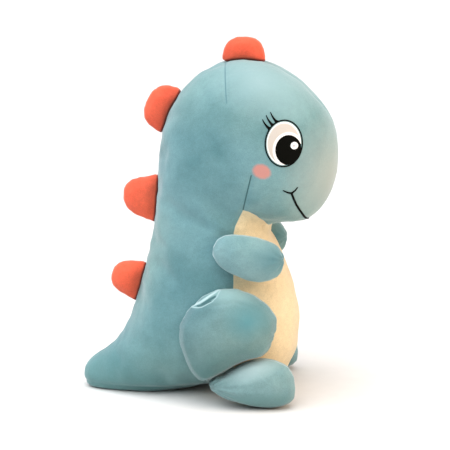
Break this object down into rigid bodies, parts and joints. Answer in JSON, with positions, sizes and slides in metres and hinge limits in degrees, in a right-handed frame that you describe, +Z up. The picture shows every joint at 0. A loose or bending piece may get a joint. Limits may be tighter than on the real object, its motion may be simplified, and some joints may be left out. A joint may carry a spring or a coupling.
{
  "type": "stuffed dinosaur",
  "caption": "Sitting plush dinosaur with a round head, cream belly, short arms and legs, a tail and soft back spikes that flex at their seams.",
  "frame": {"origin": "on the resting plane, under the middle of the toy's bounding box", "axes": "+X the way the toy faces, +Y towards the toy's left side, +Z up"},
  "size_m": [0.308, 0.242, 0.4263],
  "materials": {
    "teal_plush": "short-pile plush",
    "cream_plush": "short-pile plush",
    "coral_plush": "short-pile plush",
    "fibre_fill": "loose polyester fibre",
    "dark_thread": "satin stitch",
    "white_thread": "satin stitch"
  },
  "bodies": {
    "torso": {"torso_panel_right": "teal_plush", "torso_panel_left": "teal_plush", "belly_panel": "cream_plush", "base_panel": "teal_plush", "torso_fill": "fibre_fill"},
    "head": {"head_panel_right": "teal_plush", "head_panel_left": "teal_plush", "head_fill": "fibre_fill", "eye_outline_right": "dark_thread", "eye_outline_left": "dark_thread", "eye_white_right": "white_thread", "eye_white_left": "white_thread", "pupil_right": "dark_thread", "pupil_left": "dark_thread", "eye_highlight_right": "white_thread", "eye_highlight_left": "white_thread", "mouth": "dark_thread"},
    "arm_right": {"arm_outer_panel_right": "teal_plush", "arm_inner_panel_right": "teal_plush", "arm_fill_right": "fibre_fill"},
    "leg_right": {"thigh_outer_panel_right": "teal_plush", "thigh_inner_panel_right": "teal_plush", "thigh_fill_right": "fibre_fill"},
    "foot_right": {"foot_outer_panel_right": "teal_plush", "foot_inner_panel_right": "teal_plush", "foot_fill_right": "fibre_fill"},
    "arm_left": {"arm_outer_panel_left": "teal_plush", "arm_inner_panel_left": "teal_plush", "arm_fill_left": "fibre_fill"},
    "leg_left": {"thigh_outer_panel_left": "teal_plush", "thigh_inner_panel_left": "teal_plush", "thigh_fill_left": "fibre_fill"},
    "foot_left": {"foot_outer_panel_left": "teal_plush", "foot_inner_panel_left": "teal_plush", "foot_fill_left": "fibre_fill"},
    "crown_spike": {"crown_spike_panel_right": "coral_plush", "crown_spike_panel_left": "coral_plush", "crown_spike_fill": "fibre_fill"},
    "nape_spike": {"nape_spike_panel_right": "coral_plush", "nape_spike_panel_left": "coral_plush", "nape_spike_fill": "fibre_fill"},
    "upper_back_spike": {"upper_back_spike_panel_right": "coral_plush", "upper_back_spike_panel_left": "coral_plush", "upper_back_spike_fill": "fibre_fill"},
    "lower_back_spike": {"lower_back_spike_panel_right": "coral_plush", "lower_back_spike_panel_left": "coral_plush", "lower_back_spike_fill": "fibre_fill"}
  },
  "joints": [
    {"name": "neck_nod", "type": "hinge", "parent": "torso", "child": "head", "pos_m": [0.008, 0, 0.243], "axis": [0, 1, 0], "range_deg": [-8, 4], "stiffness_Nm_per_rad": 3, "springref_deg": -1.72},
    {"name": "arm_swing_right", "type": "hinge", "parent": "torso", "child": "arm_right", "pos_m": [0.005, -0.089, 0.185], "axis": [0, 0, -1], "range_deg": [0, 50], "stiffness_Nm_per_rad": 0.05},
    {"name": "leg_splay_right", "type": "hinge", "parent": "torso", "child": "leg_right", "pos_m": [-0.03, -0.088, 0.092], "axis": [0, 0, -1], "range_deg": [0, 18], "stiffness_Nm_per_rad": 0.3},
    {"name": "foot_turn_right", "type": "hinge", "parent": "leg_right", "child": "foot_right", "pos_m": [0.006, -0.088, 0.0285], "axis": [0, 0, -1], "range_deg": [0, 15], "stiffness_Nm_per_rad": 0.1},
    {"name": "arm_swing_left", "type": "hinge", "parent": "torso", "child": "arm_left", "pos_m": [0.005, 0.089, 0.185], "axis": [0, 0, 1], "range_deg": [0, 50], "stiffness_Nm_per_rad": 0.05},
    {"name": "leg_splay_left", "type": "hinge", "parent": "torso", "child": "leg_left", "pos_m": [-0.03, 0.088, 0.092], "axis": [0, 0, 1], "range_deg": [0, 18], "stiffness_Nm_per_rad": 0.3},
    {"name": "foot_turn_left", "type": "hinge", "parent": "leg_left", "child": "foot_left", "pos_m": [0.006, 0.088, 0.0285], "axis": [0, 0, 1], "range_deg": [0, 15], "stiffness_Nm_per_rad": 0.1},
    {"name": "crown_spike_flop", "type": "hinge", "parent": "head", "child": "crown_spike", "pos_m": [0.041, 0, 0.3975], "axis": [1, 0, 0], "range_deg": [-18, 18], "stiffness_Nm_per_rad": 0.03},
    {"name": "nape_spike_flop", "type": "hinge", "parent": "head", "child": "nape_spike", "pos_m": [-0.0465, 0, 0.337], "axis": [0.4251, 0, 0.9052], "range_deg": [-18, 18], "stiffness_Nm_per_rad": 0.03},
    {"name": "upper_back_spike_flop", "type": "hinge", "parent": "head", "child": "upper_back_spike", "pos_m": [-0.0655, 0, 0.233], "axis": [0.086, 0, 0.9963], "range_deg": [-18, 18], "stiffness_Nm_per_rad": 0.03},
    {"name": "lower_back_spike_flop", "type": "hinge", "parent": "torso", "child": "lower_back_spike", "pos_m": [-0.085, 0, 0.131], "axis": [0.27, 0, 0.9629], "range_deg": [-18, 18], "stiffness_Nm_per_rad": 0.03}
  ]
}
